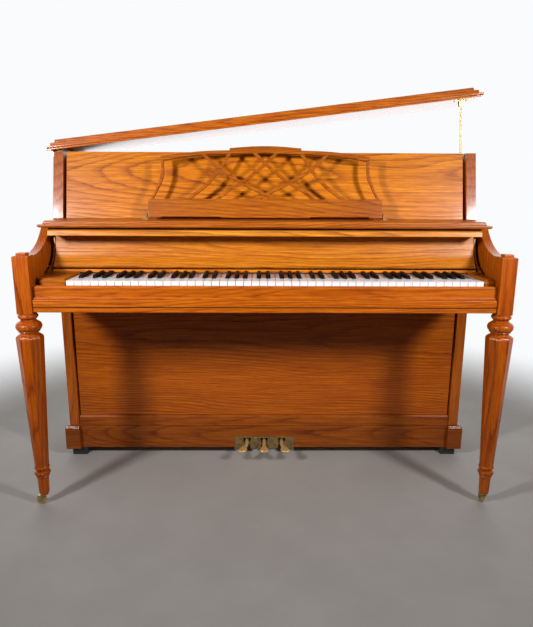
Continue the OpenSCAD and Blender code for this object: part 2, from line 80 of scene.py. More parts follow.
class Net:
    """A material's node tree, with short ways to add nodes and link them."""

    def __init__(self, name, **shader):
        self.mat = bpy.data.materials.new(name)
        self.mat.use_nodes = True
        self.tree = self.mat.node_tree
        self.shader = self.tree.nodes["Principled BSDF"]
        for socket, value in shader.items():
            self.shader.inputs[socket.replace("_", " ")].default_value = value

    def add(self, kind, inputs, **settings):
        node = self.tree.nodes.new("ShaderNode" + kind)
        for name, value in settings.items():
            setattr(node, name, value)
        for key, value in inputs.items():
            self.feed(value, node.inputs[key])
        return node

    def feed(self, value, socket):
        if isinstance(value, bpy.types.NodeSocket):
            self.tree.links.new(value, socket)
        elif socket.type == "RGBA":
            socket.default_value = (*value, 1.0)
        else:
            socket.default_value = value

    def maths(self, operation, *values):
        """Math node: ADD, MULTIPLY, MULTIPLY_ADD (a times b plus c) and so on."""
        return self.add("Math", dict(enumerate(values)), operation=operation).outputs[0]

    def place(self, along="x"):
        """Object coordinates with the grain direction first."""
        spot = self.add("TexCoord", {}).outputs["Object"]
        parts = self.add("SeparateXYZ", {0: spot}).outputs
        order = {"x": (0, 2, 1), "y": (1, 2, 0), "z": (2, 0, 1)}[along]
        return [parts[i] for i in order]

    def vector(self, parts, stretch=(1, 1, 1), shift=0.0):
        """The parts as one vector, each stretched, and shifted to another patch of noise."""
        scaled = [
            self.maths("MULTIPLY_ADD", part, k, shift * (i + 1))
            for i, (part, k) in enumerate(zip(parts, stretch))
        ]
        return self.add("CombineXYZ", dict(enumerate(scaled))).outputs[0]

    def noise(self, vector, scale=1.0, detail=2.0, rough=0.5):
        node = self.add(
            "TexNoise",
            {"Vector": vector, "Scale": scale, "Detail": detail, "Roughness": rough},
        )
        return node.outputs["Fac"]

    def ramp(self, factor, stops, ease="LINEAR"):
        """Colour ramp; a stop is a position with a colour or a grey level."""
        node = self.add("ValToRGB", {0: factor})
        node.color_ramp.interpolation = ease
        steps = node.color_ramp.elements
        while len(steps) < len(stops):
            steps.new(0.5)
        for step, (position, colour) in zip(steps, stops):
            step.position = position
            shade = (colour,) * 3 if isinstance(colour, (int, float)) else colour
            step.color = (*shade, 1.0)
        return node.outputs["Color"]

    def mix(self, factor, a, b, blend="MIX"):
        node = self.add("Mix", {0: factor, 6: a, 7: b}, data_type="RGBA", blend_type=blend)
        return node.outputs[2]

    def bump(self, height, depth, strength=1.0):
        """Bump of that depth in metres."""
        node = self.add("Bump", {"Height": height, "Distance": depth, "Strength": strength})
        self.tree.links.new(node.outputs[0], self.shader.inputs["Normal"])

    def finish(self, colour, roughness):
        self.feed(colour, self.shader.inputs["Base Color"])
        self.feed(roughness, self.shader.inputs["Roughness"])
        return self.mat


# A kind of wood: three stain colours, the tint of its blotches, the width of a growth ring
# in metres, how strongly the pores show, the roughness range and the weight of the lacquer.
OAK = {
    "dark": (0.17, 0.029, 0.0010),
    "mid": (0.45, 0.105, 0.0028),
    "light": (0.70, 0.215, 0.0120),
    "tint": (0.86, 0.70, 0.52),
    "ring": 0.0078,
    "pore": 0.5,
    "gloss": (0.32, 0.48),
    "coat": 0.28,
}
GLOSSY = {**OAK, "coat": 0.5}
LACQUER = {**OAK, "coat": 0.65}
SATIN = {**OAK, "coat": 0.1}
SPRUCE = {
    "dark": (0.44, 0.26, 0.11),
    "mid": (0.62, 0.43, 0.22),
    "light": (0.72, 0.54, 0.31),
    "tint": (0.92, 0.86, 0.78),
    "ring": 0.004,
    "pore": 0.1,
    "gloss": (0.5, 0.7),
    "coat": 0.0,
}
BEECH = {
    "dark": (0.34, 0.17, 0.07),
    "mid": (0.48, 0.27, 0.12),
    "light": (0.56, 0.34, 0.17),
    "tint": (0.9, 0.84, 0.78),
    "ring": 0.006,
    "pore": 0.25,
    "gloss": (0.45, 0.62),
    "coat": 0.0,
}


def wood(name, along, centre, kind=OAK, shade=1.0, edge_wear_and_highlight=0.0, seed=0.0, groove_shade=None):
    """Plain-sawn wood: cones of growth rings about a wandering pith line, cut by the surface.

    along is the grain direction, centre the pith's place across the grain in metres,
    shade a factor on the colour and the edge factor how far an edge is paled, partly lost stain and
    partly a painted highlight. The groove pair is the height of a groove darkened with painted shade,
    as (middle, half of its width) in mm.
    """
    net = Net(name, Coat_Weight=kind["coat"], Coat_Roughness=0.13, Specular_IOR_Level=0.22)
    g, a, b = net.place(along)

    # The wandering pith line, and the ring that each point lies in.
    slow = net.noise(net.vector((g, a, b), (1.3, 5.0, 5.0), seed), 1.0, 2.0)
    slower = net.noise(net.vector((g, a, b), (0.6, 1.7, 1.7), seed + 3.7), 1.0, 1.0)
    across = net.maths("SUBTRACT", a, centre[0])
    across = net.maths("MULTIPLY_ADD", net.maths("SUBTRACT", slow, 0.5), 0.09, across)
    depth = net.maths("SUBTRACT", b, centre[1])
    depth = net.maths("MULTIPLY_ADD", net.maths("SUBTRACT", slower, 0.5), 0.16, depth)
    squares = net.maths("ADD", net.maths("MULTIPLY", across, across), net.maths("MULTIPLY", depth, depth))
    radius = net.maths("SQRT", squares)
    radius = net.maths("MULTIPLY_ADD", g, -0.03, radius)
    jitter = net.noise(net.vector((g, a, b), (14.0, 90.0, 90.0), seed + 1.3), 1.0, 3.0, 0.65)
    radius = net.maths("MULTIPLY_ADD", jitter, 0.0035, radius)
    ring = net.maths("FRACT", net.maths("DIVIDE", radius, kind["ring"]))
    early_stops = [(0.0, 0.3), (0.05, 1.0), (0.18, 0.42), (0.45, 0.06), (0.9, 0.0), (1.0, 0.3)]
    early = net.ramp(ring, early_stops)
    contrast = net.noise(net.vector((g, a, b), (1.8, 11.0, 11.0), seed + 5.1), 1.0, 2.0)
    early = net.maths("MULTIPLY", early, net.ramp(contrast, [(0.3, 0.25), (0.7, 1.0)]))

    # Streaks and fine fibre over the rings, then the pores in the early wood.
    streak = net.noise(net.vector((g, a, b), (7.0, 190.0, 190.0), seed), 1.0, 4.0, 0.62)
    fine = net.noise(net.vector((g, a, b), (34.0, 900.0, 900.0), seed + 2.2), 1.0, 2.0, 0.55)
    tone = net.maths("MULTIPLY_ADD", early, 0.28, net.maths("MULTIPLY", streak, 0.50))
    tone = net.maths("MULTIPLY_ADD", fine, 0.30, tone)
    colour = net.ramp(tone, [(0.28, kind["light"]), (0.46, kind["mid"]), (0.70, kind["dark"])])
    pores = net.noise(net.vector((g, a, b), (60.0, 1700.0, 1700.0), seed), 1.0, 2.0, 0.5)
    pores = net.ramp(pores, [(0.53, 0.0), (0.66, 1.0)])
    pores = net.maths("MULTIPLY", pores, net.maths("MULTIPLY_ADD", early, 0.85, 0.15))
    colour = net.mix(net.maths("MULTIPLY", pores, kind["pore"]), colour, kind["dark"])

    # Uneven stain, edges paled partly by wear and partly as a painted highlight, and painted shade in a
    # groove.
    blotch = net.noise(net.vector((g, a, b), (2.2, 6.0, 6.0), seed + 8.2), 1.0, 2.0)
    colour = net.mix(net.ramp(blotch, [(0.35, 0.0), (0.7, 0.5)]), colour, kind["tint"], "MULTIPLY")
    # Edges paled towards the light stain in patches: partly rubbed-through wear, partly a painted highlight
    # along the arris.
    if edge_wear_and_highlight:
        scuff_and_highlight_noise = net.noise(net.vector((g, a, b), (30, 90, 90), seed), 1.0, 3.0, 0.7)
        rub_and_highlight = net.ramp(scuff_and_highlight_noise, [(0.45, 0.0), (0.68, edge_wear_and_highlight)])
        colour = net.mix(rub_and_highlight, colour, tuple(1.1 * c + 0.03 for c in kind["light"]))
    if shade != 1.0:
        colour = net.mix(1.0, colour, shade if isinstance(shade, tuple) else (shade,) * 3, "MULTIPLY")
    # Painted shade: a near-black band at the groove's height stands in for the shadow inside the keybed
    # rail's groove.
    if groove_shade:
        height = net.place("z")[0]
        line = net.maths("COMPARE", height, groove_shade[0] * MM, groove_shade[1] * MM)
        colour = net.mix(net.maths("MULTIPLY", line, 0.92), colour, (0.02, 0.008, 0.003))
    low, high = kind["gloss"]
    rough = net.maths("MULTIPLY_ADD", tone, (high - low) * 0.7, low)
    rough = net.maths("MULTIPLY_ADD", pores, 0.12, rough)
    relief = net.maths("MULTIPLY_ADD", pores, -1.0, net.maths("MULTIPLY", early, -0.25))
    net.bump(relief, 0.00025, 0.55)
    return net.finish(colour, rough)


def metal(name, colour, dull, rough, spots, metallic=1.0):
    """Metal with tarnish patches: dull is the tarnished colour, spots how much there is."""
    net = Net(name, Metallic=metallic)
    parts = net.place()
    patch = net.ramp(net.noise(net.vector(parts), 55.0, 5.0, 0.65), [(0.42, 0.0), (0.72, spots)])
    tone = net.mix(patch, colour, dull)
    fine = net.noise(net.vector(parts), 700.0, 3.0, 0.6)
    low, high = rough
    value = net.maths("MULTIPLY_ADD", patch, high - low, low)
    value = net.maths("MULTIPLY_ADD", fine, 0.12, value)
    net.bump(fine, 0.00004, 0.5)
    return net.finish(tone, value)


def key_cover(name, colour, shade, rough, coat, gloss=0.5):
    """Moulded key cover: faint cloudiness and hand wear that dulls the gloss."""
    net = Net(name, Coat_Weight=coat, Coat_Roughness=0.08, Specular_IOR_Level=gloss)
    parts = net.place()
    cloud = net.ramp(net.noise(net.vector(parts), 9.0, 3.0, 0.6), [(0.35, 0.0), (0.7, 1.0)])
    tone = net.mix(cloud, colour, shade)
    grain = net.noise(net.vector(parts, (900, 30, 900)), 1.0, 2.0)
    value = net.maths("MULTIPLY_ADD", cloud, 0.1, rough)
    net.bump(grain, 0.00002, 0.4)
    return net.finish(tone, net.maths("MULTIPLY_ADD", grain, 0.06, value))


def cloth(name, colour, shade):
    """Pressed wool felt: matted fibres, soft sheen."""
    net = Net(name, Sheen_Weight=0.35, Sheen_Roughness=0.5)
    parts = net.place()
    fibre = net.noise(net.vector(parts), 1500.0, 4.0, 0.7)
    clump = net.noise(net.vector(parts), 160.0, 3.0, 0.6)
    mat = net.maths("MULTIPLY_ADD", fibre, 0.6, net.maths("MULTIPLY", clump, 0.4))
    tone = net.mix(mat, shade, colour)
    net.bump(fibre, 0.0003, 0.7)
    return net.finish(tone, net.maths("MULTIPLY_ADD", clump, 0.1, 0.86))


def paint(name, colour, shade, rough):
    """Painted surface with brush unevenness."""
    net = Net(name)
    parts = net.place()
    wave = net.noise(net.vector(parts), 40.0, 4.0, 0.6)
    fleck = net.noise(net.vector(parts), 420.0, 3.0, 0.6)
    net.bump(net.maths("ADD", wave, net.maths("MULTIPLY", fleck, 0.4)), 0.0004, 0.5)
    return net.finish(net.mix(wave, colour, shade), net.maths("MULTIPLY_ADD", fleck, 0.2, rough))


BRASS = metal("brass_aged", (0.78, 0.60, 0.27), (0.30, 0.20, 0.08), (0.2, 0.42), 0.8)
BRASS_DARK = metal("brass_dark", (0.55, 0.40, 0.17), (0.16, 0.10, 0.045), (0.24, 0.5), 0.9)
BRASS_PALE = metal("brass_pale", (0.40, 0.33, 0.17), (0.24, 0.19, 0.09), (0.25, 0.4), 0.5)
BRASS_TOE = metal("brass_polished", (0.95, 0.72, 0.30), (0.62, 0.42, 0.15), (0.24, 0.4), 0.5, 0.7)
STEEL = metal("steel_wire", (0.62, 0.63, 0.65), (0.40, 0.38, 0.36), (0.24, 0.42), 0.4)
GOLD_PAINT = paint("plate_paint", (0.42, 0.29, 0.09), (0.56, 0.41, 0.15), 0.36)
BLACK_PAINT = paint("black_paint", (0.012, 0.012, 0.012), (0.03, 0.029, 0.028), 0.55)
IVORY = key_cover("key_white_cover", (0.82, 0.85, 0.88), (0.78, 0.80, 0.81), 0.16, 0.3)
EBONY = key_cover("key_black_cover", (0.004, 0.004, 0.005), (0.007, 0.007, 0.008), 0.42, 0.0, 0.08)
RED_FELT = cloth("felt_red", (0.34, 0.02, 0.018), (0.16, 0.008, 0.008))
WHITE_FELT = cloth("felt_pale", (0.74, 0.71, 0.64), (0.52, 0.49, 0.43))


def oaks(name, along, node, shade=1.0, kind=OAK, drop=0.1, side=0.0, groove_shade=None):
    """Face wood, and edge wood paled partly by wear and partly as a painted highlight, for a piece about as
    large as that CAD node.

    drop and side move the pith away from the middle of the node, in metres.
    """
    low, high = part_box(node)
    middle = (low + high) / 2
    order = {"x": (2, 1), "y": (2, 0), "z": (0, 1)}[along]
    across = middle[order[0]] + side
    centre = (across, middle[order[1]] + drop)
    seed = random.uniform(0, 40)
    return [
        wood("wood_" + name, along, centre, kind, shade, 0.0, seed, groove_shade),
        wood("wood_" + name + "_edge", along, centre, kind, shade, 0.55, seed, groove_shade),
    ]


# ---------------------------------------------------------------- meshes


def finish_piece(name, bm, materials, body, replaces=(), smooth=35.0):
    """Turns bm into a piece that rides on body and stands for the nodes in replaces."""
    bmesh.ops.recalc_face_normals(bm, faces=bm.faces)
    mesh = bpy.data.meshes.new(name)
    bm.to_mesh(mesh)
    bm.free()
    for material in materials:
        mesh.materials.append(material)
    mesh.shade_smooth()
    mesh.set_sharp_from_angle(angle=math.radians(smooth))
    piece = bpy.data.objects.new(name, mesh)
    bpy.context.scene.collection.objects.link(piece)
    piece.modifiers.new("even_normals", "WEIGHTED_NORMAL").keep_sharp = True
    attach(piece, body)
    if replaces:
        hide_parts(*replaces)
    return piece


def add_faces(bm, points, faces):
    corners = [bm.verts.new(point) for point in points]
    return [bm.faces.new([corners[i] for i in face]) for face in faces]


def soften(bm, width, segments, angle):
    """Rounds the sharp edges; the new faces take the second material."""
    limit = math.radians(angle)
    sharp = [e for e in bm.edges if len(e.link_faces) == 2 and e.calc_face_angle(0) > limit]
    bmesh.ops.bevel(bm, geom=sharp, offset=width * MM, segments=segments, profile=0.5,
                    affect="EDGES", clamp_overlap=True, material=1)


def add_box(bm, x0, x1, d0, d1, z0, z1):
    points = [at(x, d, z) for z in (z0, z1) for d in (d0, d1) for x in (x0, x1)]
    faces = [(0, 1, 3, 2), (4, 6, 7, 5), (0, 4, 5, 1), (1, 5, 7, 3), (3, 7, 6, 2), (2, 6, 4, 0)]
    return add_faces(bm, points, faces)


def rounded(points, steps=4):
    """Outline of (u, v, radius) corners with each corner turned into an arc."""
    out = []
    count = len(points)
    for i, (u, v, radius) in enumerate(points):
        here = Vector((u, v))
        before = Vector(points[i - 1][:2]) - here
        after = Vector(points[(i + 1) % count][:2]) - here
        half = before.angle(after) / 2
        reach = min(radius / math.tan(half), 0.48 * before.length, 0.48 * after.length)
        if reach < 0.02:
            out.append((u, v))
            continue
        start, end = here + before.normalized() * reach, here + after.normalized() * reach
        for k in range(steps + 1):
            t = k / steps
            out.append(tuple(start * (1 - t) ** 2 + here * 2 * t * (1 - t) + end * t ** 2))
    return out


def add_prism(bm, outline, x0, x1):
    """Extrudes a (d, z) outline along X."""
    n = len(outline)
    points = [at(x, d, z) for x in (x0, x1) for d, z in outline]
    faces = [tuple(range(n)), tuple(range(2 * n - 1, n - 1, -1))]
    faces += [(i, (i + 1) % n, n + (i + 1) % n, n + i) for i in range(n)]
    return add_faces(bm, points, faces)


def add_board(bm, x, d, profile, back=True):
    """Board over the box x by d whose front and ends follow profile, a list of (inset, z).

    With back=True the back edge stays straight, as on a lid that stops at the wall.
    """
    loops = []
    for inset, z in profile:
        rear = d[1] if back else d[1] - inset
        loops.append([at(x[0] + inset, d[0] + inset, z), at(x[1] - inset, d[0] + inset, z),
                      at(x[1] - inset, rear, z), at(x[0] + inset, rear, z)])
    return add_loops(bm, loops)


def add_loops(bm, loops):
    """Skin over closed loops of the same length, with both ends closed."""
    n = len(loops[0])
    points = [point for loop in loops for point in loop]
    faces = [tuple(range(n - 1, -1, -1)), tuple(range(len(points) - n, len(points)))]
    for level in range(len(loops) - 1):
        base = level * n
        for i in range(n):
            j = (i + 1) % n
            faces.append((base + i, base + j, base + n + j, base + n + i))
    return add_faces(bm, points, faces)


def arc(centre, radius, start, end, steps):
    """Points on an arc, angles in degrees."""
    angles = [math.radians(start + (end - start) * k / steps) for k in range(steps + 1)]
    return [(centre[0] + radius * math.cos(a), centre[1] + radius * math.sin(a)) for a in angles]


def add_screw(bm, centre, axis, radius=3.2):
    """Slotted dome head, centre and radius in millimetres, axis the way it faces."""
    out = Vector(axis).normalized()
    side = out.orthogonal().normalized()
    other = out.cross(side)
    turn = random.uniform(0, math.pi)
    loops = []
    for share, height in ((1.0, 0.0), (1.0, 0.35), (0.86, 0.8), (0.6, 1.15), (0.3, 1.3)):
        loop = []
        for k in range(24):
            angle = 2 * math.pi * k / 24
            u, v = share * math.cos(angle), share * math.sin(angle)
            in_slot = height > 0.5 and abs(u * math.sin(turn) - v * math.cos(turn)) < 0.17
            rise = (height - (0.75 if in_slot else 0.0)) * MM
            loop.append(at(*centre) + (side * u + other * v) * radius * MM + out * rise)
        loops.append(loop)
    return add_loops(bm, loops)


def screws(name, spots, body, material=BRASS, radius=3.2):
    bm = bmesh.new()
    for centre, axis in spots:
        add_screw(bm, centre, axis, radius)
    return finish_piece(name, bm, [material], body, smooth=50)


def dress(node, materials, width=0.0, segments=2):
    """Gives a CAD node its material and, with width, softened edges in the second one, paled partly by wear
    and partly as a painted highlight.
    """
    piece = frame["nodes"][node]
    piece.data.materials.clear()
    for material in materials:
        piece.data.materials.append(material)
    if width:
        piece.modifiers.new("weld", "WELD").merge_threshold = 0.00002
        bevel = piece.modifiers.new("soft_edges", "BEVEL")
        bevel.width = width * MM
        bevel.segments = segments
        bevel.limit_method = "ANGLE"
        bevel.angle_limit = math.radians(30)
        bevel.material = 1 if len(materials) > 1 else -1
    return piece


# ---------------------------------------------------------------- case


def case_boards():
    """Boards whose CAD shape is right: they get their wood and softened edges."""
    for side in ("left", "right"):
        node = side + "_side"
        dress(node, oaks(node, "z", node, (0.72, 0.62, 0.52), GLOSSY, drop=0.16), 1.6)
    # Node, grain, shade, the pith's drop and side shift, edge width.
    boards = [
        ("upper_panel", "x", (1.14, 1.30, 0.9), 0.13, 0.0, 1.2),
        ("lower_panel", "x", (0.78, 0.66, 0.30), 0.12, 0.06, 1.2),
        ("lower_rail", "x", (0.55, 0.46, 0.25), 0.03, 0.0, 1.0),
        ("kick_rail", "x", (0.50, 0.42, 0.25), 0.05, 0.0, 1.2),
    ]
    for node, along, shade, drop, shift, edge in boards:
        dress(node, oaks(node, along, node, shade, drop=drop, side=shift), edge)
    # The keybed rail's groove is darkened by a band of painted shade at its height.
    keybed = oaks("keybed", "x", "keybed", (0.93, 0.80, 0.38), drop=-0.25, side=-0.04, groove_shade=(640.75, 1.4))
    dress("keybed", keybed, 0.4, 1)
    dress("key_slip", oaks("key_slip", "x", "key_slip", (0.86, 0.72, 0.34), drop=0.04), 1.0)
    dress("cheek_arms", oaks("cheek_arms", "z", "cheek_arms", (0.80, 0.68, 0.40), drop=0.2), 1.4)
    dress("back_frame", oaks("back_frame", "z", "back_frame", 1.0, SPRUCE), 2.5)
    dress("soundboard", oaks("soundboard", "x", "soundboard", 1.0, SPRUCE, drop=0.4)[:1])
    for node, shade, kind in (
        ("bottom_board", 1.0, BEECH),
        ("bridges", 0.9, BEECH),
        ("key_frame", 1.0, SPRUCE),
        ("action_frame", 1.0, BEECH),
    ):
        dress(node, oaks(node, "x", node, shade, kind)[:1])
    dress("base_feet", [BLACK_PAINT, BLACK_PAINT], 1.0)
    dress("iron_plate", [GOLD_PAINT, GOLD_PAINT], 2.5)
    dress("strings_and_pins", [STEEL])


def plinth_blocks():
    """Blocks round the foot of each side, with a moulded top edge."""
    (_, x1), (d0, d1), (z0, z1) = span("plinth_blocks")
    inner = span("right_side")[0][0] - 3
    bm = bmesh.new()
    profile = [(0.6, z0), (0, z0 + 0.8), (0, z1 - 9), (0.8, z1 - 8), (1.2, z1 - 7), (2.2, z1 - 4.5),
               (4.2, z1 - 2), (7.0, z1 - 0.4), (8.0, z1)]
    for sign in (-1, 1):
        x = sorted((sign * inner, sign * x1))
        add_board(bm, x, (d0, d1), profile)
    skin = oaks("plinth", "x", "right_side", (0.44, 0.36, 0.2), drop=-0.1, side=0.05)
    finish_piece("plinth_mouldings", bm, skin, "case", ["plinth_blocks"])


def shelf():
    """Shelf over the fallboard in two moulded tiers."""
    (x0, x1), (d0, d1), (z0, z1) = span("shelf")
    step_x, step_d, step_z = 14, 11, z0 + 10
    bm = bmesh.new()
    lower = [(5, z0), (4, z0 + 0.4), (0.6, z0 + 3.6), (0, z0 + 5), (0, z0 + 7.4), (0.6, z0 + 9),
             (1.8, z0 + 9.8), (3, step_z)]
    add_board(bm, (x0, x1), (d0, d1), lower)
    upper = [(0, step_z), (0, step_z + 2.2), (0.4, step_z + 3.4), (1.6, step_z + 4.2),
             (1.8, step_z + 5.6), (2.4, z1 - 2.6), (3.6, z1 - 1.2), (5.2, z1 - 0.2), (6.2, z1)]
    add_board(bm, (x0 + step_x, x1 - step_x), (d0 + step_d, d1), upper)
    skin = oaks("shelf", "x", "shelf", (0.80, 0.80, 1.2), drop=-0.12, side=-0.07)
    finish_piece("shelf_board", bm, skin, "case", ["shelf"])


def key_blocks():
    """Blocks at both ends of the keyboard: a body under a cap with chamfered edges."""
    (x0, x1), (d0, d1), (z0, z1) = span("key_blocks")
    left_end = span("keys_a")[0][0] - 2
    right_start = span("keys_c")[0][1] + 2
    bm = bmesh.new()
    profile = [(1, z0), (1, z1 - 15), (0.4, z1 - 14), (0, z1 - 13), (0, z1 - 6), (0.8, z1 - 5),
               (4.2, z1 - 0.6), (5, z1)]
    for x in ((x0 + 13, left_end), (right_start, x1)):
        add_board(bm, x, (d0, d1), profile)
    add_box(bm, x0, x0 + 12.9, d0 + 26, d1, z0, z1 - 2)
    skin = oaks("key_blocks", "x", "key_blocks", 0.72, drop=-0.05)
    finish_piece("keyboard_end_blocks", bm, skin, "case", ["key_blocks"])


def nameboard():
    """Strip above the keys with its red felt."""
    (x0, x1), (d0, d1), (z0, z1) = span("nameboard_strip")
    seam = z0 + 2
    bm = bmesh.new()
    strip = rounded([(d0, seam, 0.5), (d1, seam, 0), (d1, z1, 1.2), (d0 + 1.5, z1, 1.5), (d0, z1 - 3, 1.5)])
    add_prism(bm, strip, x0, x1)
    soften(bm, 0.5, 1, 60)
    skin = oaks("nameboard", "x", "nameboard_strip", (1.3, 1.5, 1.6), drop=0.03)
    finish_piece("nameboard", bm, skin, "case", ["nameboard_strip"])
    felt = bmesh.new()
    edge = rounded([(d0 + 0.4, z0, 0.8), (d1 - 1, z0, 0), (d1 - 1, seam, 0), (d0 + 0.4, seam, 0.8)])
    add_prism(felt, edge, span("keys_a")[0][0] + 1, span("keys_c")[0][1])
    finish_piece("nameboard_felt", felt, [RED_FELT], "case")


# ---------------------------------------------------------------- legs


def leg(side):
    """Front leg: square block with a cap, turned ring and bulb, eight-sided taper, turned foot."""
    node = side + "_leg"
    (x0, x1), (d0, d1), (foot, _) = span(node)
    cx, cd = (x0 + x1) / 2, (d0 + d1) / 2
    half, count = 22.5, 64  # half of the block's width, points round a turned section
    block, top = 620, 789  # heights of the block's lower and upper end
    bm = bmesh.new()

    def section(z, radius, eight):
        loop = []
        for k in range(count):
            angle = 2 * math.pi * k / count
            flat = (angle + math.pi / 8) % (math.pi / 4) - math.pi / 8
            corner = math.cos(math.pi / 8) / math.cos(flat)
            r = radius * (1 + eight * (corner - 1))
            loop.append(at(cx + r * math.cos(angle), cd + r * math.sin(angle), z))
        return loop

    # Height, radius and how eight-sided the section is.
    turned = [(foot, 13.0, 0), (foot + 1, 14.2, 0), (foot + 3, 14.8, 0), (44, 15.5, 0), (92, 17.2, 0),
              (94, 17.6, 0), (95.5, 19.2, 0), (98, 20.2, 0), (100.5, 19.2, 0), (102, 17.8, 0),
              (103.2, 17.6, 0), (104.5, 20.5, 0), (106, 23.0, 0), (109.5, 24.2, 0), (113, 23.2, 0),
              (115, 20.8, 0), (116, 18.6, 0), (119, 18.2, 0), (121, 19.0, 0), (124, 21.6, 0),
              (127, 22.8, 0), (130, 22.0, 0), (132, 20.6, 0), (134, 20.6, 0.4), (140, 21.0, 0.9),
              (148, 21.3, 1)]
    taper = [(150 + 394 * k / 12, 21.4 + 17.6 * k / 12, 1) for k in range(13)]
    neck = [(546, 38.9, 1), (549, 38.2, 1), (551.5, 36.8, 0.9), (554, 34.0, 0.5), (556, 30.5, 0.1),
            (558, 27.5, 0), (560, 26.2, 0), (563, 26.0, 0), (564.5, 27.5, 0), (566, 31.0, 0)]
    bulb = [(z, r, 0) for r, z in arc((23.0, 581), 14.2, -62, 58, 14)]
    ring = [(596, 26.0, 0), (598.5, 22.6, 0), (602, 22.0, 0), (603.5, 23.5, 0)]
    ring += [(z, r, 0) for r, z in arc((21.7, 611.5), 7.0, -55, 55, 8)]
    ring += [(618.5, 24.5, 0), (block, 24.0, 0)]
    add_loops(bm, [section(*row) for row in turned + taper + neck + bulb + ring])
    square = [(1.4, block), (0.4, block + 0.4), (0, block + 1.4), (0, top - 3.2), (0.3, top - 2.2),
              (2.6, top - 0.3), (3.6, top)]
    add_board(bm, (cx - half, cx + half), (cd - half, cd + half), square, back=False)
    cap, cap_half = [(0, top), (0, top + 5.6), (0.5, top + 7), (1.6, top + 7.8), (2.8, top + 8)], 13.5
    add_board(bm, (cx - cap_half, cx + cap_half), (cd - cap_half, cd + cap_half), cap, back=False)
    skin = oaks(node, "z", node, (0.78, 0.58, 0.2), SATIN, drop=0.06)
    finish_piece(node + "_turned", bm, skin, "case", [node], smooth=24)


# ---------------------------------------------------------------- lid


def lid_turn():
    """Turns what is drawn for the closed lid to where the open lid rests."""
    pin = Vector(JOINTS["lid_hinge"]["pos_m"])
    angle = math.radians(JOINTS["lid_hinge"]["range_deg"][1])
    return Matrix.Translation(pin) @ Matrix.Rotation(-angle, 4, "Y") @ Matrix.Translation(-pin)


def lid():
    """Lid in three moulded tiers with a bead round the lowest."""
    end, front, back = 735, 342, span("right_side")[1][1]
    under = span("right_side")[2][1] + 2
    # Each tier's inset at the ends, and its edge profile up from the underside.
    tiers = [
        (0, [(1.6, 0), (0.5, 0.4), (0, 1.6), (0, 4.0), (0.5, 5.0), (1.7, 5.6), (2.2, 6.2), (1.7, 6.8),
             (0.6, 7.2), (0, 8.2), (0, 11.0), (0.6, 12.4), (2.0, 13)]),
        (11, [(0, 13), (0, 14.6), (0.9, 16.8), (1.1, 19.8), (1.6, 22.2), (2.8, 23.6), (4.2, 24)]),
        (24, [(0, 24), (0, 25.6), (0.8, 27.8), (1.0, 30.6), (1.7, 32.7), (3.0, 33.7), (4.4, 34)]),
    ]
    bm = bmesh.new()
    for inset, profile in tiers:
        edge = [(i, under + z) for i, z in profile]
        add_board(bm, (-end + inset, end - inset), (front + inset * 0.86, back), edge)
    bm.transform(lid_turn())
    skin = oaks("lid", "x", "lid", (1.02, 0.94, 0.8), LACQUER, drop=-0.2)
    finish_piece("lid_board", bm, skin, "lid", ["lid"])


# ---------------------------------------------------------------- fallboard


def fallboard():
    """Curved fallboard with its two bands, and the folding front leaf that makes the lip."""
    (x0, x1), _, _ = span("fallboard")
    # The section in d and z, from the front's top down, under the foot and up the back.
    upper = [(192, 831), (191.2, 823), (189.4, 812), (187.0, 801), (184.6, 790.5), (182.6, 782.0)]
    step = [(181.9, 779.6), (180.4, 778.9), (179.7, 778.2)]
    lower = [(178.6, 773.6), (176.2, 766.6), (172.6, 759.6), (168.4, 753.8), (164.4, 749.0)]
    foot = [(162.6, 746.6), (161.2, 745.2), (160.0, 743.4), (157.8, 739.6), (155.8, 736.0), (156.4, 733.0)]
    back = [(160, 729), (171, 731), (184, 746), (196, 768), (203, 795), (208, 828)]
    bm = bmesh.new()
    add_prism(bm, upper + step + lower + foot + back, x0, x1)
    skin = oaks("fallboard", "x", "fallboard", (1.0, 1.24, 1.8), drop=0.08, side=0.02)
    finish_piece("fallboard_curved", bm, skin, "fallboard", ["fallboard"], smooth=22)
    (x0, x1), (d0, d1), (z0, z1) = span("fallboard_leaf")
    nose = rounded([(d0, z0 + 1.5, 6), (d0 + 2.5, z0, 2), (d1, z0, 0.6), (d1, z1, 0.6), (d0 + 4, z1, 5)], 5)
    bm = bmesh.new()
    add_prism(bm, nose, x0, x1)
    soften(bm, 1.0, 2, 60)
    # The lip's pale, blue-lifted tint is a painted highlight: its lacquer sheen painted into the colour.
    skin = oaks("leaf", "x", "fallboard_leaf", (1.12, 1.5, 3.0), drop=0.05)
    finish_piece("fallboard_lip", bm, skin, "fallboard_leaf", ["fallboard_leaf"])
    dress("fallboard_arms", [BRASS_DARK])


# ---------------------------------------------------------------- music desk


def smooth_line(points, steps=6):
    """Catmull-Rom curve through the points."""
    out = []
    for i in range(len(points) - 1):
        p, q, r, s = (Vector(points[min(max(k, 0), len(points) - 1)]) for k in range(i - 1, i + 3))
        square, cube = 2 * p - 5 * q + 4 * r - s, 3 * q - p - 3 * r + s
        for k in range(steps):
            t = k / steps
            out.append((2 * q + (r - p) * t + square * t * t + cube * t ** 3) / 2)
    return out + [Vector(points[-1])]


def add_bar(bm, points, width, low, high):
    """Bar with rounded arrises along points in the desk's plane, in millimetres."""
    line = smooth_line(points)
    rim = 1.6
    fine = rim * 0.3
    half = width / 2
    section = [(-half, low + rim), (-half + fine, low + fine), (-half + rim, low), (half - rim, low),
               (half - fine, low + fine), (half, low + rim), (half, high - rim), (half - fine, high - fine),
               (half - rim, high), (-half + rim, high), (-half + fine, high - fine), (-half, high - rim)]
    loops = []
    for i, point in enumerate(line):
        run = (line[min(i + 1, len(line) - 1)] - line[max(i - 1, 0)]).normalized()
        across = Vector((-run.y, run.x))
        loops.append([Vector((*(point + across * u), w)) * MM for u, w in section])
    add_loops(bm, loops)


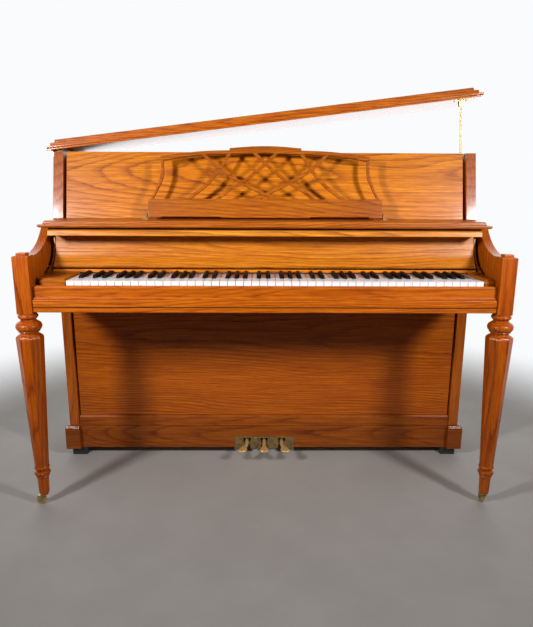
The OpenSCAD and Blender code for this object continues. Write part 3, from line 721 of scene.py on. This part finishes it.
def add_plate(bm, outlines, low, high, rim):
    """Plate with rounded arrises: the first outline is its edge, the others are holes."""
    shape = bpy.data.curves.new("plate", "CURVE")
    shape.dimensions, shape.fill_mode = "2D", "BOTH"
    shape.extrude = (high - low - 2 * rim) / 2 * MM
    shape.bevel_depth, shape.bevel_resolution, shape.offset = rim * MM, 2, -rim * MM
    for outline in outlines:
        spline = shape.splines.new("POLY")
        spline.points.add(len(outline) - 1)
        for target, (u, v) in zip(spline.points, outline):
            target.co = (u * MM, v * MM, 0, 1)
        spline.use_cyclic_u = True
    holder = bpy.data.objects.new("plate", shape)
    bpy.context.scene.collection.objects.link(holder)
    bpy.context.view_layer.update()
    solid = holder.evaluated_get(bpy.context.evaluated_depsgraph_get())
    mesh = bpy.data.meshes.new_from_object(solid)
    mesh.transform(Matrix.Translation((0, 0, (low + high) / 2 * MM)))
    bm.from_mesh(mesh)
    bpy.data.objects.remove(holder)
    bpy.data.curves.remove(shape)
    bpy.data.meshes.remove(mesh)
    bmesh.ops.remove_doubles(bm, verts=bm.verts, dist=1e-6)


def both_ways(points):
    """Outline of the right half, from the middle bottom up, completed to the left."""
    return points + [(-u, v) for u, v in reversed(points) if u > 0]


def music_desk():
    """Desk with a solid base, a bowed frame and crossing fretwork bars."""
    lean, thick, half = math.radians(13.3), 13.0, span("music_desk")[0][1]
    desk_d, desk_z = 256, 884  # the lower front edge
    # Outlines in the desk's plane, right half: u from the middle, v up from the base.
    crown = [(119 - 11.9 * k, 231 + 7 * math.sin(math.radians(9 * k))) for k in range(11)]
    edge = [(0, 0), (148, 0), (148, 3), (344, 3), (344, 0), (half, 0), (half, 60), (379, 62)]
    edge += smooth_line([(379, 62), (362, 96), (346, 146), (347, 203)], 5)[1:]
    edge += smooth_line([(347, 203), (280, 213), (204, 221), (119, 224)], 4)[1:]
    edge += crown
    hole = [(0, 62), (371, 62)] + smooth_line([(371, 62), (352, 100), (337, 140), (337, 190)], 5)[1:]
    hole += smooth_line([(337, 190), (270, 201), (204, 209), (108, 212), (0, 216)], 4)[1:]
    bm = bmesh.new()
    outlines = [both_ways([tuple(point) for point in half_line]) for half_line in (edge, hole)]
    add_plate(bm, outlines, -thick, 0, 1.4)
    sweeps = [
        [(-209, 216), (-155, 163), (-86, 121), (0, 77), (40, 52)],
        [(-116, 220), (-132, 193), (-155, 157), (-202, 104), (-272, 52)],
        [(-44, 225), (-6, 186), (63, 128), (121, 92), (172, 52)],
    ]
    # Each bar lies a hair deeper than the last, so no two faces share a plane.
    for index, sweep in enumerate(sweeps):
        for sign in (1, -1):
            front = -0.9 - index * 0.25 - (sign < 0) * 0.1
            add_bar(bm, [(sign * u, v) for u, v in sweep], 10.5, 2.6 - thick + index * 0.5, front)
    # The small arch over the middle of the base.
    turns = [math.radians(t) for t in range(180, -1, -20)]
    add_bar(bm, [(34 * math.cos(t), 60 + 16 * math.sin(t)) for t in turns], 7.0, 3 - thick, -1.6)
    turn = Matrix.Translation(at(0, desk_d, desk_z)) @ Matrix.Rotation(math.pi / 2 - lean, 4, "X")
    bm.transform(turn)
    skin = oaks("desk", "x", "music_desk", (0.72, 0.72, 0.6), drop=0.09, side=-0.05)
    finish_piece("desk_fretwork", bm, skin, "music_desk", ["music_desk"])


# ---------------------------------------------------------------- keyboard

WHITE_CLASSES = ("c", "d", "e", "f", "g", "a", "b")
SEMITONES = {"c": 0, "d": 2, "e": 4, "f": 5, "g": 7, "a": 9, "b": 11}
BLACK_SHIFT = {1: -2.4, 3: 2.4, 6: -3.0, 8: 0.0, 10: 3.0}  # sideways from the gap between whites
BLACK_W = 10.4
WHITES = 52
FIRST_WHITE = 5  # the lowest key is an a
HALF_GAP = 0.5
WHITE_LENGTH, SHOULDER = 150, 50  # back of a white key's cover, front of its narrow part
BLACK_FRONT, BLACK_BACK = 52, 147


def key_layout():
    """Left end of the keyboard and the width of one white key with its gap."""
    left = span("keys_a")[0][0] - HALF_GAP
    return left, (span("keys_c")[0][1] + HALF_GAP - left) / WHITES


def notch(semitone, side):
    """How much a black key takes from the white key's side."""
    black = (semitone + side) % 12
    if black not in BLACK_SHIFT:
        return HALF_GAP
    return BLACK_W / 2 + 1.6 - side * BLACK_SHIFT[black]


def white_keys(letter, stick):
    """The covers, fronts and sticks of every white key of one letter."""
    left, pitch = key_layout()
    node = "keys_" + letter
    _, (d0, d1), (z0, top) = span(node)
    semitone = SEMITONES[letter]
    front_d = d0 + 1.2  # the front plate sits back under the cover's lip
    levels = [(0.35, top - 2.4, d0 + 0.3), (0.0, top - 2.1, d0), (0.0, top - 0.9, d0),
              (0.25, top - 0.3, d0 + 0.3), (0.8, top, d0 + 0.9)]
    bm = bmesh.new()
    for i in range(WHITES):
        if WHITE_CLASSES[(i + FIRST_WHITE) % 7] != letter:
            continue
        x0, x1 = left + i * pitch, left + (i + 1) * pitch
        cut0 = HALF_GAP if i == 0 else notch(semitone, -1)
        cut1 = HALF_GAP if i == WHITES - 1 else notch(semitone, 1)
        middle = (x0 + cut0 + x1 - cut1) / 2

        def outline(inset, z, front):
            wide0, wide1 = x0 + HALF_GAP + inset, x1 - HALF_GAP - inset
            narrow0, narrow1 = x0 + cut0 + inset, x1 - cut1 - inset
            step = SHOULDER - inset
            corners = [(wide0, front), (wide1, front), (wide1, step), (narrow1, step),
                       (narrow1, WHITE_LENGTH), (narrow0, WHITE_LENGTH), (narrow0, step), (wide0, step)]
            return [at(x, d, z) for x, d in corners]

        add_loops(bm, [outline(*level) for level in levels])
        body = add_loops(bm, [outline(0.3, z0 + 1, front_d), outline(0.3, top - 2.4, front_d)])
        rear = add_box(bm, middle - 5.2, middle + 5.2, WHITE_LENGTH, d1, z0, z0 + 16)
        for face in rear:
            face.material_index = 1
        for face in body:
            behind = abs(face.calc_center_median().y - at(0, front_d, 0).y)
            face.material_index = 0 if behind < 0.2 * MM else 1
    finish_piece(node + "_played", bm, [IVORY, stick], node, [node], smooth=30)


def black_keys(node, stick):
    """Sharps with tapered sides, a sloped front and rounded edges."""
    left, pitch = key_layout()
    _, (_, d1), (z0, top) = span(node)
    wide, narrow = BLACK_W / 2, BLACK_W / 2 - 0.9
    # Height, half width and front of each level.
    rows = [(z0, wide, BLACK_FRONT), (top - 9, wide, BLACK_FRONT), (top - 7.6, wide - 0.05, 52.4),
            (top - 3.4, narrow + 0.35, 54.8), (top - 1.4, narrow + 0.05, 56.4),
            (top - 0.4, narrow - 0.5, 57.8), (top, narrow - 1.3, 60)]
    bm = bmesh.new()
    for i in range(WHITES - 1):
        letter = WHITE_CLASSES[(i + FIRST_WHITE) % 7]
        semitone = SEMITONES[letter] + 1
        if semitone not in BLACK_SHIFT or node != "keys_" + letter + "_sharp":
            continue
        x = left + (i + 1) * pitch + BLACK_SHIFT[semitone]
        loops = []
        for z, half, front in rows:
            back = BLACK_BACK - max(0, z - top + 3) * 0.4
            loops.append([at(x - half, front, z), at(x + half, front, z), at(x + half, back, z),
                          at(x - half, back, z)])
        add_loops(bm, loops)
        for face in add_box(bm, x - 4.4, x + 4.4, BLACK_BACK + 0.05, d1, z0, z0 + 16):
            face.material_index = 1
    finish_piece(node + "_played", bm, [EBONY, stick], node, [node], smooth=40)


def keyboard():
    stick = oaks("key_stick", "y", "keys_c", 1.0, SPRUCE)[0]
    for letter in WHITE_CLASSES:
        white_keys(letter, stick)
    for letter in ("c", "d", "f", "g", "a"):
        black_keys("keys_" + letter + "_sharp", stick)


# ---------------------------------------------------------------- pedals


def pedal(side, turn):
    """Cast brass pedal: a flat stem that swells into a rounded toe turned to one side."""
    node = side + "_pedal"
    _, (d0, d1), _ = span(node)
    stem_x = sum(span(node + "_rod")[0]) / 2
    z_mid, z_half = 59.0, 4.0
    # Distance behind the toe, half width, share of the full thickness.
    rows = [(0.3, 2.0, 0.35), (1.0, 5.6, 0.55), (2.6, 9.4, 0.76), (5.5, 13.0, 0.9), (9.5, 15.8, 0.98),
            (14, 17.2, 1.0), (18.5, 17.0, 1.0), (24, 15.0, 1.0), (31, 11.8, 0.98), (39, 9.0, 0.96),
            (49, 7.3, 0.94), (61, 6.4, 0.92), (75, 6.0, 0.92), (100, 6.0, 0.92),
            (d1 - d0 - 1, 6.0, 0.92), (d1 - d0, 5.0, 0.8)]
    bm = bmesh.new()
    loops = []
    for run, half, thick in rows:
        swing = max(0.0, min(1.0, (66 - run) / 58))
        x = stem_x + turn * swing * swing * (3 - 2 * swing)
        loop = []
        for k in range(28):
            angle = 2 * math.pi * k / 28
            cos, sin = math.cos(angle), math.sin(angle)
            u = math.copysign(abs(cos) ** 0.75, cos) * half
            w = math.copysign(abs(sin) ** 0.75, sin) * z_half * thick
            loop.append(at(x + u, d0 + run, z_mid + w))
        loops.append(loop)
    add_loops(bm, loops)
    pin = JOINTS[node + "_hinge"]["pos_m"]
    hub = [[Vector((pin[0] + x * MM, pin[1] + r * MM * math.cos(a), pin[2] + r * MM * math.sin(a)))
            for a in (2 * math.pi * k / 24 for k in range(24))]
           for x, r in ((-11.5, 1.9), (-11.2, 2.3), (11.2, 2.3), (11.5, 1.9))]
    add_loops(bm, hub)
    finish_piece(node + "_cast", bm, [BRASS_TOE], node, [node], smooth=50)


def pedals():
    pedal("left", -16)
    pedal("middle", 0)
    pedal("right", 12)
    dress("pedal_plate", [BRASS_DARK])
    spots = [((x, 315.5, 68), (0, -1, 0)) for x in (-98, -33, 32, 98)]
    screws("pedal_plate_screws", spots, "case", BRASS_DARK)
    rod = oaks("pedal_rods", "z", "left_pedal_rod", 1.0, BEECH)[:1]
    for side in ("left", "middle", "right"):
        dress(side + "_pedal_rod", rod)


# ---------------------------------------------------------------- fittings


def fittings():
    for node in ("lid_hardware", "side_hinges", "desk_brackets", "prop_guide"):
        dress(node, [BRASS_DARK if node == "lid_hardware" else BRASS])
    dress("lid_prop", [BRASS_PALE])
    for side in ("left", "right"):
        dress(side + "_caster_fork", [BRASS_DARK])
        dress(side + "_caster_wheel", [BRASS])
    hinge_z = span("side_hinges")[2][1] - 19
    side_x = span("left_side")[0][0] - 1.5
    spots = [((side_x, d + off, hinge_z), (-1, 0, 0)) for d in (380, 560) for off in (-13, 0, 13)]
    screws("hinge_screws", spots, "case", BRASS, 2.6)


def action():
    for node in ("hammers", "dampers", "muffler_rail"):
        dress(node, [WHITE_FELT])


# ---------------------------------------------------------------- studio


def floor():
    """Plain pale floor that fades out into the white surroundings."""
    radius = 3.2
    bm = bmesh.new()
    bmesh.ops.create_circle(bm, cap_ends=True, segments=96, radius=radius)
    mesh = bpy.data.meshes.new("floor")
    bm.to_mesh(mesh)
    bm.free()
    plane = bpy.data.objects.new("floor", mesh)
    bpy.context.scene.collection.objects.link(plane)
    net = Net("floor_pale", Specular_IOR_Level=0.2)
    spot = net.add("TexCoord", {}).outputs["Object"]
    away = net.add("VectorMath", {0: spot}, operation="LENGTH").outputs["Value"]
    mottle = net.noise(spot, 5.0, 4.0, 0.6)
    fade = net.ramp(net.maths("DIVIDE", away, radius), [(0.36, 1.0), (0.66, 0.0)], "EASE")
    net.feed(fade, net.shader.inputs["Alpha"])
    tone = net.mix(mottle, (0.31, 0.292, 0.272), (0.40, 0.38, 0.357))
    plane.data.materials.append(net.finish(tone, 0.75))


def area_light(name, place, aim, power, size=0.2):
    """Upright softbox of that width in metres, aimed at a point, power in watts."""
    data = bpy.data.lights.new(name, "AREA")
    data.shape = "RECTANGLE"
    data.size, data.size_y, data.energy = size, 1.7 * size, power
    light = bpy.data.objects.new(name, data)
    light.location = place
    light.rotation_euler = (Vector(aim) - Vector(place)).to_track_quat("-Z", "Y").to_euler()
    light.visible_camera = False
    data.spread = math.radians(95)
    bpy.context.scene.collection.objects.link(light)


def studio():
    """White surroundings, brightest behind the piano, and a softbox at each side of the front."""
    world = bpy.data.worlds.new("studio")
    bpy.context.scene.world = world
    world.use_nodes = True
    tree = world.node_tree
    background = tree.nodes["Background"]
    background.inputs["Color"].default_value = (0.97, 0.985, 1.0, 1.0)
    way = tree.nodes.new("ShaderNodeTexCoord").outputs["Generated"]
    parts = tree.nodes.new("ShaderNodeSeparateXYZ")
    tree.links.new(way, parts.inputs[0])
    wall = tree.nodes.new("ShaderNodeMapRange")
    wall.interpolation_type = "SMOOTHSTEP"
    tree.links.new(parts.outputs["Y"], wall.inputs["Value"])
    for socket, value in {"From Min": 0.1, "From Max": 0.75, "To Min": 0.06, "To Max": 1.8}.items():
        wall.inputs[socket].default_value = value
    level = tree.nodes.new("ShaderNodeMapRange")
    tree.links.new(tree.nodes.new("ShaderNodeLightPath").outputs["Is Camera Ray"], level.inputs["Value"])
    tree.links.new(wall.outputs[0], level.inputs["To Min"])
    level.inputs["To Max"].default_value = 0.98
    tree.links.new(level.outputs[0], background.inputs["Strength"])
    area_light("softbox_left", (-1.35, -1.3, 1.36), (0.15, 0.1, 0.75), 10.2)
    area_light("softbox_right", (1.35, -1.3, 1.36), (-0.15, 0.1, 0.75), 9.2)
    bpy.context.scene.view_settings.view_transform = "Standard"


def camera():
    """Camera at the photograph's viewing angle: yaw, pitch and a slight roll."""
    data = bpy.data.cameras.new("photo_view")
    data.sensor_width = 36.0
    data.lens = 31.63
    data.clip_start = 0.05
    eye = bpy.data.objects.new("photo_view", data)
    yaw = Matrix.Rotation(math.radians(-0.5787), 4, "Z")
    pitch = Matrix.Rotation(math.radians(90 - 12.836), 4, "X")
    roll = Matrix.Rotation(math.radians(0.2586), 4, "Z")
    eye.matrix_world = Matrix.Translation((-0.01348, -1.86733, 0.98015)) @ yaw @ pitch @ roll
    bpy.context.scene.collection.objects.link(eye)
    bpy.context.scene.camera = eye


camera()
studio()
floor()
case_boards()
plinth_blocks()
shelf()
key_blocks()
nameboard()
leg("left")
leg("right")
lid()
fallboard()
music_desk()
keyboard()
pedals()
fittings()
action()
